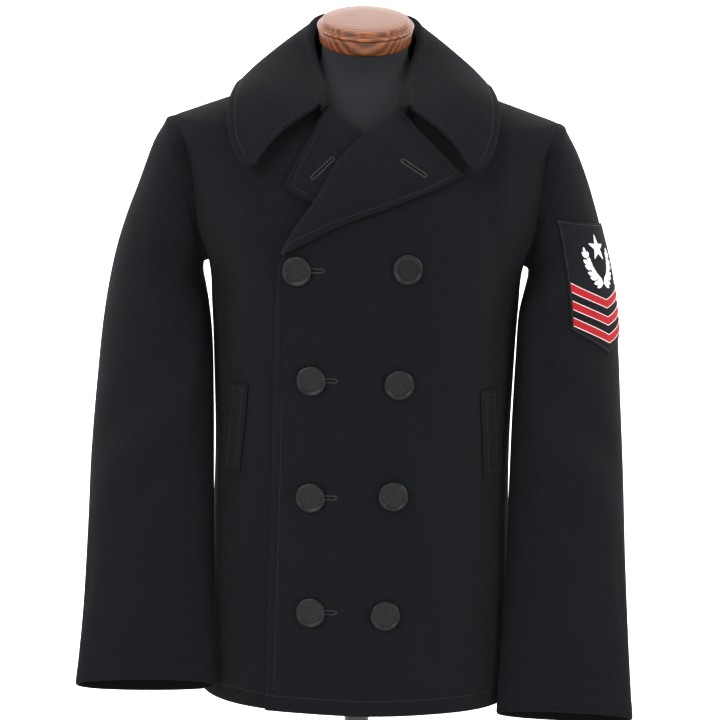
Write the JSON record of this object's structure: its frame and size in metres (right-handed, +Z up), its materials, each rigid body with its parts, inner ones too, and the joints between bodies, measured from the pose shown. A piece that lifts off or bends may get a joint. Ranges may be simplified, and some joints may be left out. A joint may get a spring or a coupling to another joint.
{
  "type": "pea coat on a dress form",
  "caption": "Double-breasted wool pea coat with wide lapels, anchor buttons and a sleeve badge, worn by a limbless dress form on a round stand.",
  "frame": {"origin": "centre of the stand's underside, on the floor", "axes": "+Z up, -Y towards the coat's front, +X towards the wearer's left"},
  "size_m": [0.629, 0.306, 0.8949],
  "materials": {
    "wool": "matt felted melton",
    "badge": "matt felt with embroidery",
    "button": "satin moulded",
    "jersey": "matt knit",
    "wood": "varnished",
    "steel": "satin"
  },
  "bodies": {
    "root": {"front_left": "wool", "front_right": "wool", "back_left": "wool", "back_right": "wool", "lapel_left": "wool", "lapel_right": "wool", "collar": "wool", "upper_sleeve_right": "wool", "under_sleeve_right": "wool", "upper_sleeve_left": "wool", "under_sleeve_left": "wool", "pocket_welt_left": "wool", "pocket_welt_right": "wool", "sleeve_badge": "badge", "button_outer_1": "button", "button_inner_1": "button", "button_outer_2": "button", "button_inner_2": "button", "button_outer_3": "button", "button_inner_3": "button", "button_outer_4": "button", "button_inner_4": "button", "form_body": "jersey", "form_neck_cap": "wood", "stand_base": "wood", "stand_pole": "steel"}
  },
  "joints": []
}
